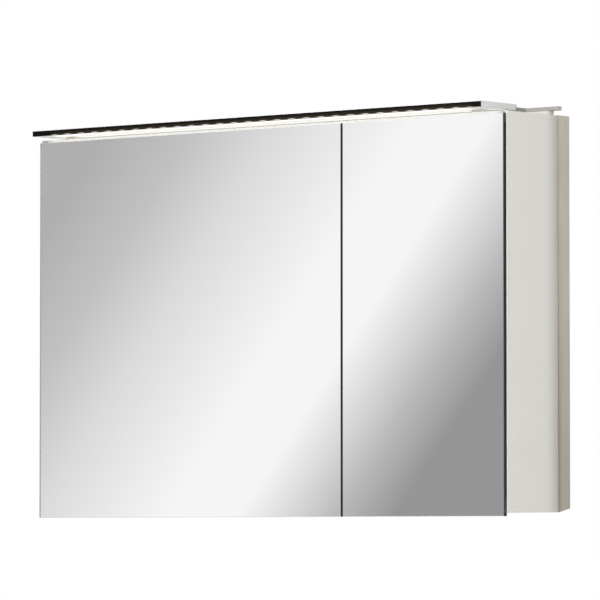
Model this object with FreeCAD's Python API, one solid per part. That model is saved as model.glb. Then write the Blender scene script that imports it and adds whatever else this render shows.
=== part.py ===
import FreeCAD, Part
import math
import os

# Lighted mirror cabinet for hanging on a wall.
# X runs along the width, Y from the room towards the wall, Z up, in millimetres.
# The origin lies on the wall plane, midway between the two hanger slots.

V = FreeCAD.Vector

# Carcass of coated board
CABINET_WIDTH = 900.0
CARCASS_HEIGHT = 582.0
SIDE_DEPTH = 136.5
BOARD = 16.0
SIDE_CURVE_LENGTH = 34.0
SIDE_CURVE_INSET = 8.0
BOARD_EDGE_RADIUS = 1.0
BACK_PANEL = 3.0

# Frame behind the carcass, which keeps room for the wiring
FRAME_DEPTH = 29.0
FRAME_RAIL = 16.0
FRAME_TOP_RAIL_HEIGHT = 64.0
FRAME_BOTTOM_RAIL_HEIGHT = 44.0
FRAME_FOOT_RISE = 6.0
FRAME_HEAD_RISE = 2.0
JOINT_GROOVE_WIDTH = 2.0
JOINT_GROOVE_DEPTH = 3.0

# Cover rail on two posts, with a riser below it that goes on from the back panel
RAIL_THICKNESS = 6.0
RAIL_DEPTH = 9.0
RAIL_END_INSET = 5.0
RAIL_RAISE = 9.0
POST_DIAMETER = 6.0
POST_INSET = 21.0

# Hanger plates let into the back of the frame
HANGER_DROP = 40.0
HANGER_INSET = 60.0
HANGER_WIDTH = 60.0
HANGER_HEIGHT = 36.0
HANGER_THICKNESS = 2.0
HANGER_SLOT_LENGTH = 24.0
HANGER_SLOT_WIDTH = 8.0
HANGER_POCKET_MARGIN = 5.0
HANGER_POCKET_DEPTH = 10.0

# Doors: a mirror bonded to a thin black board
MEETING_X = 151.0
MEETING_GAP = 3.0
MIRROR = 3.0
MIRROR_BEVEL = 0.6
CARRIER = 4.0
DOOR_GAP = 1.4
DOOR_OVERHANG = 6.0
DOOR_TOP_SETBACK = 4.0

# Pivot hinges at the outer corners of the doors, with plates let into the ends of the sides
PIVOT_INSET = 2.2
PIVOT_PIN_RADIUS = 1.25
PIVOT_CLEARANCE = 0.05
PIVOT_ENGAGEMENT = 10.0
PIVOT_BORE_SPARE = 0.4
PIVOT_SEAT_GAP = 0.3
PLATE_THICKNESS = 2.0
PLATE_NOSE_RADIUS = 1.7
PLATE_NECK = 1.1
PLATE_WIDTH = 12.0
PLATE_LENGTH = 36.0
PLATE_SHOULDER = 2.0
SHOE_WIDTH = 18.0
SHOE_HEIGHT = 14.0

# Magnetic catches and bumpers
MAGNET_HEIGHT = 36.0
MAGNET_WIDTH = 11.0
MAGNET_DEPTH = 20.0
MAGNET_FROM_BOTTOM = 120.0
STRIKE_THICKNESS = 1.5
STRIKE_MARGIN = 2.0
CATCH_GAP = 0.3
BUMPER_RADIUS = 4.0
BUMPER_FROM_EDGE = 40.0

# Glass shelves on pins
SHELF_THICKNESS = 5.0
SHELF_DEPTH = 104.0
SHELF_SIDE_GAP = 1.0
SHELF_COUNT = 2
PIN_RADIUS = 2.5
PIN_DEPTH = 7.0
PIN_REACH = 9.0
PIN_FROM_SHELF_EDGE = 22.0

# Flat lamp above the doors
LAMP_INSET = 16.0
LAMP_OVERHANG = 35.0
LAMP_DEPTH = 87.5
LAMP_THICKNESS = 9.0
LAMP_RAISE = 3.2
LAMP_WALL = 1.5
LAMP_CAP = 2.0
LAMP_FRONT_STRIP = 3.0
LAMP_STRIP_BEVEL = 0.6
LAMP_EDGE_RADIUS = 1.0
LAMP_REAR_CHAMBERS = 1
LIGHT_CHAMBER_WIDTH = 67.0
DIFFUSER_WIDTH = 63.0
DIFFUSER_FLANGE = 0.8
LED_BOARD_WIDTH = 12.0
LED_BOARD_MARGIN = 1.0
LED_BOARD_THICKNESS = 1.2
LED_SIZE = 3.5
LED_HEIGHT = 1.1
LED_COUNT = 31
REST_WIDTH = 17.0
REST_INSET = 47.0

# Brackets that carry the lamp on the top board
BRACKET_WIDTH = 26.0
BRACKET_LENGTH = 30.0
BRACKET_THICKNESS = 5.0
BRACKET_FLANGE = 4.0
BRACKET_CORNER = 4.0
SPACER_RADIUS = 4.0
SPACER_FROM_END = 7.0

# Lamp driver and cable gland on the back panel
DRIVER_LENGTH = 150.0
DRIVER_WIDTH = 44.0
DRIVER_HEIGHT = 20.0
DRIVER_INSET = 180.0
DRIVER_BELOW_TOP = 130.0
DRIVER_EDGE_RADIUS = 3.0
GLAND_HOLE_RADIUS = 10.0
GLAND_BORE_RADIUS = 6.0
GLAND_FLANGE_RADIUS = 14.0
GLAND_FLANGE = 2.0
GLAND_SPOUT = 6.0
GLAND_ABOVE_BOTTOM = 110.0
GLAND_FROM_PARTITION = 40.0

# Rocker switch on the partition
SWITCH_WIDTH = 40.0
SWITCH_HEIGHT = 62.0
SWITCH_DEPTH = 22.0
SWITCH_EDGE_RADIUS = 2.5
SWITCH_FROM_FRONT = 24.0
SWITCH_ABOVE_BOTTOM = 70.0
WINDOW_WIDTH = 22.0
WINDOW_HEIGHT = 30.4
WINDOW_DEPTH = 13.0
ROCKER_SIDE_GAP = 0.4
ROCKER_END_GAP = 1.0
ROCKER_PIVOT_DEPTH = 4.0
ROCKER_SKIRT = 5.0
ROCKER_RISE = 5.2
ROCKER_DIP = 3.2
ROCKER_TILT = 7.0
TRUNNION_RADIUS = 1.5
TRUNNION_LENGTH = 2.4
TRUNNION_CLEARANCE = 0.05

# Places that follow from those sizes
HALF = CABINET_WIDTH / 2
INNER_HALF = HALF - BOARD
TOP_Z = HANGER_DROP
BOTTOM_Z = TOP_Z - CARCASS_HEIGHT
FLOOR_Z = BOTTOM_Z + BOARD
CEILING_Z = TOP_Z - BOARD
FRAME_FRONT_Y = -FRAME_DEPTH
BACK_PANEL_FRONT_Y = FRAME_FRONT_Y - BACK_PANEL
CARCASS_FRONT_Y = FRAME_FRONT_Y - SIDE_DEPTH
DOOR_BACK_Y = CARCASS_FRONT_Y - DOOR_GAP
MIRROR_BACK_Y = DOOR_BACK_Y - CARRIER
DOOR_FRONT_Y = MIRROR_BACK_Y - MIRROR
DOOR_BOTTOM_Z = BOTTOM_Z - DOOR_OVERHANG
DOOR_TOP_Z = TOP_Z - DOOR_TOP_SETBACK
LEFT_DOOR_END = MEETING_X - MEETING_GAP / 2
RIGHT_DOOR_END = MEETING_X + MEETING_GAP / 2
PARTITION_LEFT = MEETING_X - BOARD / 2
PARTITION_RIGHT = MEETING_X + BOARD / 2
PIVOT_X = HALF - PIVOT_INSET
PIVOT_Y = MIRROR_BACK_Y + CARRIER / 2
LOWER_SHOE_Z = BOTTOM_Z + PLATE_THICKNESS + PIVOT_SEAT_GAP
UPPER_SHOE_Z = DOOR_TOP_Z - SHOE_HEIGHT
LAMP_FRONT_Y = DOOR_FRONT_Y - LAMP_OVERHANG
LAMP_BACK_Y = LAMP_FRONT_Y + LAMP_DEPTH
LAMP_BOTTOM_Z = TOP_Z + LAMP_RAISE
LAMP_TOP_Z = LAMP_BOTTOM_Z + LAMP_THICKNESS
LAMP_HALF = HALF - LAMP_INSET
HOUSING_HALF = LAMP_HALF - LAMP_CAP
HOUSING_FRONT_Y = LAMP_FRONT_Y + LAMP_FRONT_STRIP
CHAMBER_FRONT_Y = HOUSING_FRONT_Y + LAMP_WALL
CHAMBER_BACK_Y = CHAMBER_FRONT_Y + LIGHT_CHAMBER_WIDTH
CHAMBER_CENTRE_Y = (CHAMBER_FRONT_Y + CHAMBER_BACK_Y) / 2
LED_CENTRE_Y = CHAMBER_FRONT_Y + LED_BOARD_MARGIN + LED_BOARD_WIDTH / 2
LED_BOARD_TOP_Z = LAMP_TOP_Z - LAMP_WALL
LED_BOARD_BOTTOM_Z = LED_BOARD_TOP_Z - LED_BOARD_THICKNESS
FRAME_OUTER = HALF - SIDE_CURVE_INSET
FRAME_INNER = FRAME_OUTER - FRAME_RAIL
FRAME_HEAD_Z = TOP_Z + FRAME_HEAD_RISE
RAIL_BOTTOM_Z = TOP_Z + RAIL_RAISE
SHELF_FRONT_Y = BACK_PANEL_FRONT_Y - SHELF_DEPTH
SWITCH_FACE_X = PARTITION_RIGHT + SWITCH_DEPTH
SWITCH_FRONT_Y = CARCASS_FRONT_Y + SWITCH_FROM_FRONT
SWITCH_CENTRE_Y = SWITCH_FRONT_Y + SWITCH_WIDTH / 2
SWITCH_CENTRE_Z = FLOOR_Z + SWITCH_ABOVE_BOTTOM
ROCKER_PIVOT_X = SWITCH_FACE_X - ROCKER_PIVOT_DEPTH
GLAND_X = PARTITION_RIGHT + GLAND_FROM_PARTITION
GLAND_Z = FLOOR_Z + GLAND_ABOVE_BOTTOM


def box(x0, x1, y0, y1, z0, z1):
    """Box between two corners."""
    return Part.makeBox(x1 - x0, y1 - y0, z1 - z0, V(x0, y0, z0))


def rod(radius, start, end):
    """Cylinder from one point to another."""
    along = end - start
    return Part.makeCylinder(radius, along.Length, start, along)


def mirrored(shape):
    """The same piece on the left-hand side."""
    return shape.mirror(V(0, 0, 0), V(1, 0, 0))


def group(shapes):
    """Like pieces that share one node."""
    return Part.makeCompound(shapes)


def prism(points, along):
    """Straight prism on a closed outline."""
    return Part.Face(Part.makePolygon(points + points[:1])).extrude(along)


def edges_along(shape, direction, place):
    """Straight edges parallel to a direction whose middle passes a test."""
    chosen = []
    for edge in shape.Edges:
        start, end = edge.Vertexes[0].Point, edge.Vertexes[-1].Point
        run = end - start
        if run.Length < 1e-6 or run.cross(direction).Length > 1e-6 * run.Length:
            continue
        if place((start + end) * 0.5):
            chosen.append(edge)
    return chosen


def shelf_heights():
    """Underside of each shelf, evenly spread over the inside height."""
    inside = CEILING_Z - FLOOR_Z
    return [FLOOR_Z + inside * (n + 1) / (SHELF_COUNT + 1) for n in range(SHELF_COUNT)]


def pin_places():
    """Depth positions of the shelf pins."""
    back = SHELF_FRONT_Y + SHELF_DEPTH - PIN_FROM_SHELF_EDGE
    return [SHELF_FRONT_Y + PIN_FROM_SHELF_EDGE, back]


def pin_rods(x0, x1):
    """Shelf pins between two places along the width, at every shelf."""
    pins = []
    for shelf_z in shelf_heights():
        level = shelf_z - PIN_RADIUS
        pins += [rod(PIN_RADIUS, V(x0, y, level), V(x1, y, level)) for y in pin_places()]
    return pins


def side_pins():
    """Pins in the right side, which stop inside its board."""
    return pin_rods(INNER_HALF - PIN_REACH, INNER_HALF + PIN_DEPTH)


def partition_pins():
    """Pins right through the partition, which serve the shelves on both sides."""
    return pin_rods(PARTITION_LEFT - PIN_REACH, PARTITION_RIGHT + PIN_REACH)


def side_panel():
    """Right side: a board whose outer face curves in towards the wall."""
    curve_start = FRAME_FRONT_Y - SIDE_CURVE_LENGTH
    radius = (SIDE_CURVE_LENGTH ** 2 + SIDE_CURVE_INSET ** 2) / (2 * SIDE_CURVE_INSET)
    half_turn = math.asin(SIDE_CURVE_LENGTH / radius) / 2
    middle_x = HALF - radius * (1 - math.cos(half_turn))
    middle_y = curve_start + radius * math.sin(half_turn)
    front_outer = V(HALF, CARCASS_FRONT_Y, BOTTOM_Z)
    curve_in = V(HALF, curve_start, BOTTOM_Z)
    curve_out = V(FRAME_OUTER, FRAME_FRONT_Y, BOTTOM_Z)
    rear_inner = V(INNER_HALF, FRAME_FRONT_Y, BOTTOM_Z)
    front_inner = V(INNER_HALF, CARCASS_FRONT_Y, BOTTOM_Z)
    outline = Part.Wire([
        Part.LineSegment(front_outer, curve_in).toShape(),
        Part.Arc(curve_in, V(middle_x, middle_y, BOTTOM_Z), curve_out).toShape(),
        Part.LineSegment(curve_out, rear_inner).toShape(),
        Part.LineSegment(rear_inner, front_inner).toShape(),
        Part.LineSegment(front_inner, front_outer).toShape(),
    ])
    panel = Part.Face(outline).extrude(V(0, 0, CARCASS_HEIGHT))
    front_edges = edges_along(panel, V(0, 0, 1), lambda p: abs(p.y - CARCASS_FRONT_Y) < 1e-6)
    panel = panel.makeFillet(BOARD_EDGE_RADIUS, front_edges)
    return panel


def carcass():
    """Sides, top, bottom, partition and back panel."""
    side = side_panel().cut(side_pins() + pivot_plates())
    wide = (-INNER_HALF, INNER_HALF, CARCASS_FRONT_Y, BACK_PANEL_FRONT_Y)
    partition = box(PARTITION_LEFT, PARTITION_RIGHT, CARCASS_FRONT_Y, BACK_PANEL_FRONT_Y, FLOOR_Z, CEILING_Z)
    back = box(-INNER_HALF, INNER_HALF, BACK_PANEL_FRONT_Y, FRAME_FRONT_Y, BOTTOM_Z, TOP_Z)
    gland = rod(GLAND_HOLE_RADIUS, V(GLAND_X, BACK_PANEL_FRONT_Y - 1, GLAND_Z),
                V(GLAND_X, FRAME_FRONT_Y + 1, GLAND_Z))
    return {
        "side_left": mirrored(side),
        "side_right": side,
        "top_board": box(*wide, CEILING_Z, TOP_Z),
        "bottom_board": box(*wide, BOTTOM_Z, FLOOR_Z),
        "partition": partition.cut(partition_pins()),
        "back_panel": back.cut(gland),
    }


def frame_side():
    """Right upright of the frame, cut on a slant at its foot."""
    foot = [
        V(FRAME_INNER, FRAME_FRONT_Y, BOTTOM_Z),
        V(FRAME_INNER, 0, BOTTOM_Z + FRAME_FOOT_RISE),
        V(FRAME_INNER, 0, FRAME_HEAD_Z),
        V(FRAME_INNER, FRAME_FRONT_Y, FRAME_HEAD_Z),
    ]
    upright = prism(foot, V(FRAME_RAIL, 0, 0))
    groove_x = FRAME_OUTER - JOINT_GROOVE_DEPTH
    groove_y = FRAME_FRONT_Y + JOINT_GROOVE_WIDTH
    groove = box(groove_x, FRAME_OUTER + 1, FRAME_FRONT_Y - 1, groove_y, BOTTOM_Z - 1, FRAME_HEAD_Z + 1)
    return upright.cut(groove)


def hanger_places():
    """Where the hanger plates sit along the width."""
    return (HANGER_INSET - HALF, HALF - HANGER_INSET)


def slot(centre_x, width, length, y0, y1):
    """Round-ended slot along X, cut through from one depth to another."""
    flat = (length - width) / 2
    middle = box(centre_x - flat, centre_x + flat, y0, y1, -width / 2, width / 2)
    ends = [rod(width / 2, V(centre_x + s * flat, y0, 0), V(centre_x + s * flat, y1, 0)) for s in (-1, 1)]
    return middle.fuse(ends).removeSplitter()


def hanger_plates():
    """Slotted steel plates, flush with the back of the frame."""
    plates = []
    for x in hanger_places():
        plate = box(x - HANGER_WIDTH / 2, x + HANGER_WIDTH / 2, -HANGER_THICKNESS, 0,
                    -HANGER_HEIGHT / 2, HANGER_HEIGHT / 2)
        opening = slot(x, HANGER_SLOT_WIDTH, HANGER_SLOT_LENGTH, -HANGER_THICKNESS - 1, 1)
        plates.append(plate.cut(opening))
    return plates


def frame():
    """Uprights and cross rails between the carcass and the wall."""
    upright = frame_side()
    rail_front = -FRAME_RAIL
    top = box(-FRAME_INNER, FRAME_INNER, rail_front, 0, TOP_Z - FRAME_TOP_RAIL_HEIGHT, TOP_Z)
    foot = BOTTOM_Z + FRAME_FOOT_RISE
    bottom = box(-FRAME_INNER, FRAME_INNER, rail_front, 0, foot, foot + FRAME_BOTTOM_RAIL_HEIGHT)
    recesses = []
    pocket_half = HANGER_SLOT_LENGTH / 2 + HANGER_POCKET_MARGIN
    pocket_high = HANGER_SLOT_WIDTH / 2 + HANGER_POCKET_MARGIN
    for x in hanger_places():
        recesses.append(box(x - HANGER_WIDTH / 2, x + HANGER_WIDTH / 2, -HANGER_THICKNESS, 1,
                            -HANGER_HEIGHT / 2, HANGER_HEIGHT / 2))
        recesses.append(box(x - pocket_half, x + pocket_half, -HANGER_THICKNESS - HANGER_POCKET_DEPTH, 0,
                            -pocket_high, pocket_high))
    return {
        "frame_left": mirrored(upright),
        "frame_right": upright,
        "frame_top": top.cut(recesses),
        "frame_bottom": bottom,
        "hanger_plates": group(hanger_plates()),
    }


def cover_rail():
    """Slim rail on two posts, and the riser between them."""
    half = HALF - RAIL_END_INSET
    front_y = BACK_PANEL_FRONT_Y
    rail = box(-half, half, front_y, front_y + RAIL_DEPTH, RAIL_BOTTOM_Z, RAIL_BOTTOM_Z + RAIL_THICKNESS)
    rounded = edges_along(rail, V(1, 0, 0), lambda p: abs(p.y - front_y) < 1e-6)
    post_x = HALF - POST_INSET
    post_y = FRAME_FRONT_Y + POST_DIAMETER / 2
    posts = [rod(POST_DIAMETER / 2, V(x, post_y, FRAME_HEAD_Z), V(x, post_y, RAIL_BOTTOM_Z))
             for x in (-post_x, post_x)]
    riser_half = post_x - POST_DIAMETER / 2
    return {
        "cover_rail": rail.makeFillet(BOARD_EDGE_RADIUS, rounded),
        "cover_rail_posts": group(posts),
        "rail_riser": box(-riser_half, riser_half, front_y, FRAME_FRONT_Y, TOP_Z, RAIL_BOTTOM_Z),
    }


def mirror(x0, x1):
    """Mirror of one door, with its front edges ground."""
    pane = box(x0, x1, DOOR_FRONT_Y, MIRROR_BACK_Y, DOOR_BOTTOM_Z, DOOR_TOP_Z)
    front = [e for e in pane.Edges if all(abs(v.Y - DOOR_FRONT_Y) < 1e-6 for v in e.Vertexes)]
    return pane.makeChamfer(MIRROR_BEVEL, front)


def carrier(x0, x1, corner_x, side):
    """Black board behind a mirror, cut back at the two corners that turn."""
    board = box(x0, x1, MIRROR_BACK_Y, DOOR_BACK_Y, DOOR_BOTTOM_Z, DOOR_TOP_Z)
    cut_x = sorted((corner_x - side * SHOE_WIDTH, corner_x + side))
    upper = box(*cut_x, MIRROR_BACK_Y, DOOR_BACK_Y, UPPER_SHOE_Z, DOOR_TOP_Z + 1)
    lower = box(*cut_x, MIRROR_BACK_Y, DOOR_BACK_Y, BOTTOM_Z - PIVOT_SEAT_GAP, LOWER_SHOE_Z + SHOE_HEIGHT)
    return board.cut([upper, lower])


def pivot_pins():
    """Right-hand pins: down into the upper shoe, and up into the lower one."""
    upper_end = V(PIVOT_X, PIVOT_Y, DOOR_TOP_Z - PIVOT_ENGAGEMENT)
    upper = rod(PIVOT_PIN_RADIUS, upper_end, V(PIVOT_X, PIVOT_Y, TOP_Z))
    lower_end = V(PIVOT_X, PIVOT_Y, LOWER_SHOE_Z + PIVOT_ENGAGEMENT)
    lower = rod(PIVOT_PIN_RADIUS, V(PIVOT_X, PIVOT_Y, BOTTOM_Z), lower_end)
    return [upper, lower]


def pivot_plate(z):
    """Flat plate in an end of the right side, with a nose that holds the pin."""
    neck_x = PIVOT_X + PLATE_NECK
    outer_x = neck_x - PLATE_SHOULDER
    inner_x = neck_x - PLATE_WIDTH
    shoulder_y = CARCASS_FRONT_Y + PLATE_SHOULDER
    back_y = CARCASS_FRONT_Y + PLATE_LENGTH
    outline = [
        V(neck_x, PIVOT_Y, z),
        V(neck_x, CARCASS_FRONT_Y, z),
        V(outer_x, shoulder_y, z),
        V(outer_x, back_y, z),
        V(inner_x, back_y, z),
        V(inner_x, shoulder_y, z),
        V(PIVOT_X - PLATE_NOSE_RADIUS, PIVOT_Y, z),
    ]
    body = prism(outline, V(0, 0, PLATE_THICKNESS))
    nose = rod(PLATE_NOSE_RADIUS, V(PIVOT_X, PIVOT_Y, z), V(PIVOT_X, PIVOT_Y, z + PLATE_THICKNESS))
    return body.fuse(nose).removeSplitter().cut(pivot_pins())


def pivot_plates():
    """Right-hand plates, flush with the top and the bottom end of the side."""
    return [pivot_plate(TOP_Z - PLATE_THICKNESS), pivot_plate(BOTTOM_Z)]


def pivot_shoes():
    """Steel blocks in the corners of the right carrier, bored for the pins."""
    bore = PIVOT_PIN_RADIUS + PIVOT_CLEARANCE
    depth = PIVOT_ENGAGEMENT + PIVOT_BORE_SPARE
    shoes = []
    for z, mouth, inward in ((UPPER_SHOE_Z, DOOR_TOP_Z, -1), (LOWER_SHOE_Z, LOWER_SHOE_Z, 1)):
        shoe = box(HALF - SHOE_WIDTH, HALF, MIRROR_BACK_Y, DOOR_BACK_Y, z, z + SHOE_HEIGHT)
        hole = rod(bore, V(PIVOT_X, PIVOT_Y, mouth - inward), V(PIVOT_X, PIVOT_Y, mouth + inward * depth))
        shoes.append(shoe.cut(hole))
    return shoes


def hinges():
    """Plates, pins and shoes of both doors."""
    right = {
        "pivot_plates": group(pivot_plates()),
        "pivot_pins": group(pivot_pins()),
        "pivot_shoes": group(pivot_shoes()),
    }
    nodes = {}
    for name, shape in right.items():
        nodes["left_" + name] = mirrored(shape)
        nodes["right_" + name] = shape
    return nodes


def catch_z():
    """Middle of the magnets."""
    return FLOOR_Z + MAGNET_FROM_BOTTOM


def strike(x0, x1):
    """Steel plate on the back of a door, opposite its magnet."""
    half = MAGNET_HEIGHT / 2 - STRIKE_MARGIN
    return box(x0 + STRIKE_MARGIN, x1 - STRIKE_MARGIN, DOOR_BACK_Y, DOOR_BACK_Y + STRIKE_THICKNESS,
               catch_z() - half, catch_z() + half)


def doors():
    """Mirrors, carriers, strikes, magnets and bumpers."""
    left_x = (-HALF, LEFT_DOOR_END)
    right_x = (RIGHT_DOOR_END, HALF)
    magnet_left = (PARTITION_LEFT - MAGNET_WIDTH, PARTITION_LEFT)
    magnet_right = (PARTITION_RIGHT, PARTITION_RIGHT + MAGNET_WIDTH)
    front = DOOR_BACK_Y + STRIKE_THICKNESS + CATCH_GAP
    half = MAGNET_HEIGHT / 2
    magnets = [box(*x, front, front + MAGNET_DEPTH, catch_z() - half, catch_z() + half)
               for x in (magnet_left, magnet_right)]
    bumpers = []
    bumper_front = DOOR_BACK_Y + CATCH_GAP
    for x in (-INNER_HALF + BUMPER_FROM_EDGE, PARTITION_LEFT - BUMPER_FROM_EDGE,
              PARTITION_RIGHT + BUMPER_FROM_EDGE, INNER_HALF - BUMPER_FROM_EDGE):
        z = BOTTOM_Z + BOARD / 2
        bumpers.append(rod(BUMPER_RADIUS, V(x, bumper_front, z), V(x, CARCASS_FRONT_Y, z)))
    return {
        "left_mirror": mirror(*left_x),
        "left_carrier": carrier(*left_x, -HALF, -1),
        "right_mirror": mirror(*right_x),
        "right_carrier": carrier(*right_x, HALF, 1),
        "left_strike": strike(*magnet_left),
        "right_strike": strike(*magnet_right),
        "door_magnets": group(magnets),
        "door_bumpers": group(bumpers),
    }


def shelves():
    """Glass shelves in both compartments, and their pins."""
    spans = {"left": (-INNER_HALF, PARTITION_LEFT), "right": (PARTITION_RIGHT, INNER_HALF)}
    nodes = {}
    for name, (x0, x1) in spans.items():
        for number, z in enumerate(shelf_heights(), start=1):
            nodes[f"{name}_shelf_{number}"] = box(x0 + SHELF_SIDE_GAP, x1 - SHELF_SIDE_GAP, SHELF_FRONT_Y,
                                                  SHELF_FRONT_Y + SHELF_DEPTH, z, z + SHELF_THICKNESS)
    nodes["shelf_pins"] = group(side_pins() + [mirrored(pin) for pin in side_pins()] + partition_pins())
    return nodes


def lamp_chambers():
    """Depth from front to back of each hollow in the lamp's section, webs between them."""
    start = CHAMBER_BACK_Y + LAMP_WALL
    width = (LAMP_BACK_Y - LAMP_WALL - start - (LAMP_REAR_CHAMBERS - 1) * LAMP_WALL) / LAMP_REAR_CHAMBERS
    rear = [start + n * (width + LAMP_WALL) for n in range(LAMP_REAR_CHAMBERS)]
    return [(CHAMBER_FRONT_Y, CHAMBER_BACK_Y)] + [(y, y + width) for y in rear]


def lamp_housing():
    """Extruded flat section: a wide chamber for the light, open below, and a closed one behind it."""
    outside = box(-HOUSING_HALF, HOUSING_HALF, HOUSING_FRONT_Y, LAMP_BACK_Y, LAMP_BOTTOM_Z, LAMP_TOP_Z)
    rounded = edges_along(outside, V(1, 0, 0), lambda p: abs(p.y - LAMP_BACK_Y) < 1e-6)
    outside = outside.makeFillet(LAMP_EDGE_RADIUS, rounded)
    low, high = LAMP_BOTTOM_Z + LAMP_WALL, LAMP_TOP_Z - LAMP_WALL
    hollows = [box(-HOUSING_HALF - 1, HOUSING_HALF + 1, y0, y1, low, high) for y0, y1 in lamp_chambers()]
    mouth = box(-HOUSING_HALF - 1, HOUSING_HALF + 1, CHAMBER_CENTRE_Y - DIFFUSER_WIDTH / 2,
                CHAMBER_CENTRE_Y + DIFFUSER_WIDTH / 2, LAMP_BOTTOM_Z - 1, LAMP_BOTTOM_Z + LAMP_WALL)
    return outside.cut(hollows + [mouth])


def lamp_diffuser():
    """Opal pane that fills the mouth and lies with a flange on each lip."""
    lip_z = LAMP_BOTTOM_Z + LAMP_WALL
    lens = box(-HOUSING_HALF, HOUSING_HALF, CHAMBER_CENTRE_Y - DIFFUSER_WIDTH / 2,
               CHAMBER_CENTRE_Y + DIFFUSER_WIDTH / 2, LAMP_BOTTOM_Z, lip_z)
    flange_z = lip_z + DIFFUSER_FLANGE
    flange = box(-HOUSING_HALF, HOUSING_HALF, CHAMBER_FRONT_Y, CHAMBER_BACK_Y, lip_z, flange_z)
    return lens.fuse(flange).removeSplitter()


def lamp():
    """Housing, front strip, caps, light board and diffuser."""
    strip = box(-LAMP_HALF, LAMP_HALF, LAMP_FRONT_Y, HOUSING_FRONT_Y, LAMP_BOTTOM_Z, LAMP_TOP_Z)
    front_edges = edges_along(strip, V(1, 0, 0), lambda p: abs(p.y - LAMP_FRONT_Y) < 1e-6)
    cap = box(HOUSING_HALF, LAMP_HALF, HOUSING_FRONT_Y, LAMP_BACK_Y, LAMP_BOTTOM_Z, LAMP_TOP_Z)
    cap_edges = edges_along(cap, V(1, 0, 0), lambda p: abs(p.y - LAMP_BACK_Y) < 1e-6)
    cap = cap.makeFillet(LAMP_EDGE_RADIUS, cap_edges)
    board = box(-HOUSING_HALF, HOUSING_HALF, LED_CENTRE_Y - LED_BOARD_WIDTH / 2,
                LED_CENTRE_Y + LED_BOARD_WIDTH / 2, LED_BOARD_BOTTOM_Z, LED_BOARD_TOP_Z)
    pitch = 2 * HOUSING_HALF / LED_COUNT
    leds = []
    for n in range(LED_COUNT):
        x = -HOUSING_HALF + pitch * (n + 0.5)
        leds.append(box(x - LED_SIZE / 2, x + LED_SIZE / 2, LED_CENTRE_Y - LED_SIZE / 2,
                        LED_CENTRE_Y + LED_SIZE / 2, LED_BOARD_BOTTOM_Z - LED_HEIGHT, LED_BOARD_BOTTOM_Z))
    return {
        "lamp_housing": lamp_housing(),
        "lamp_front_strip": strip.makeChamfer(LAMP_STRIP_BEVEL, front_edges),
        "lamp_cap_left": mirrored(cap),
        "lamp_cap_right": cap,
        "lamp_diffuser": lamp_diffuser(),
        "lamp_light_board": board,
        "lamp_leds": group(leds),
    }


def spacer_places():
    """Middle of each spacer under the right-hand lamp bracket."""
    x = HOUSING_HALF - BRACKET_WIDTH / 2
    near = LAMP_BACK_Y + BRACKET_FLANGE + SPACER_FROM_END
    far = LAMP_BACK_Y + BRACKET_LENGTH - SPACER_FROM_END
    return [(x, near), (x, far)]


def lamp_brackets():
    """Angle brackets behind the lamp, on spacers, and the two flat bars that it lies on."""
    x0, x1 = HOUSING_HALF - BRACKET_WIDTH, HOUSING_HALF
    top = LAMP_BOTTOM_Z + BRACKET_THICKNESS
    plate = box(x0, x1, LAMP_BACK_Y, LAMP_BACK_Y + BRACKET_LENGTH, LAMP_BOTTOM_Z, top)
    corners = edges_along(plate, V(0, 0, 1), lambda p: p.y > LAMP_BACK_Y + BRACKET_LENGTH / 2)
    plate = plate.makeFillet(BRACKET_CORNER, corners)
    flange = box(x0, x1, LAMP_BACK_Y, LAMP_BACK_Y + BRACKET_FLANGE, LAMP_BOTTOM_Z, LAMP_TOP_Z)
    bracket = plate.fuse(flange).removeSplitter()
    rest_x = HALF - REST_INSET
    rest = box(rest_x - REST_WIDTH, rest_x, CARCASS_FRONT_Y, LAMP_BACK_Y, TOP_Z, LAMP_BOTTOM_Z)
    spacers = []
    for x, y in spacer_places():
        spacers += [rod(SPACER_RADIUS, V(s * x, y, TOP_Z), V(s * x, y, LAMP_BOTTOM_Z)) for s in (-1, 1)]
    return {
        "lamp_bracket_left": mirrored(bracket),
        "lamp_bracket_right": bracket,
        "lamp_spacers": group(spacers),
        "lamp_rests": group([rest, mirrored(rest)]),
    }


def wiring():
    """Lamp driver and cable gland on the back panel."""
    z = TOP_Z - DRIVER_BELOW_TOP
    x0 = HALF - DRIVER_INSET - DRIVER_LENGTH / 2
    x1 = x0 + DRIVER_LENGTH
    driver = box(x0, x1, FRAME_FRONT_Y, FRAME_FRONT_Y + DRIVER_HEIGHT,
                 z - DRIVER_WIDTH / 2, z + DRIVER_WIDTH / 2)
    upright = edges_along(driver, V(0, 1, 0), lambda p: True)
    driver = driver.makeFillet(DRIVER_EDGE_RADIUS, upright)
    room_side = BACK_PANEL_FRONT_Y - GLAND_FLANGE
    wall_side = FRAME_FRONT_Y + GLAND_SPOUT
    neck = rod(GLAND_HOLE_RADIUS, V(GLAND_X, BACK_PANEL_FRONT_Y, GLAND_Z), V(GLAND_X, wall_side, GLAND_Z))
    flange = rod(GLAND_FLANGE_RADIUS, V(GLAND_X, room_side, GLAND_Z),
                 V(GLAND_X, BACK_PANEL_FRONT_Y, GLAND_Z))
    bore = rod(GLAND_BORE_RADIUS, V(GLAND_X, room_side - 1, GLAND_Z), V(GLAND_X, wall_side + 1, GLAND_Z))
    return {
        "lamp_driver": driver,
        "cable_gland": neck.fuse(flange).removeSplitter().cut(bore),
    }


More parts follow.
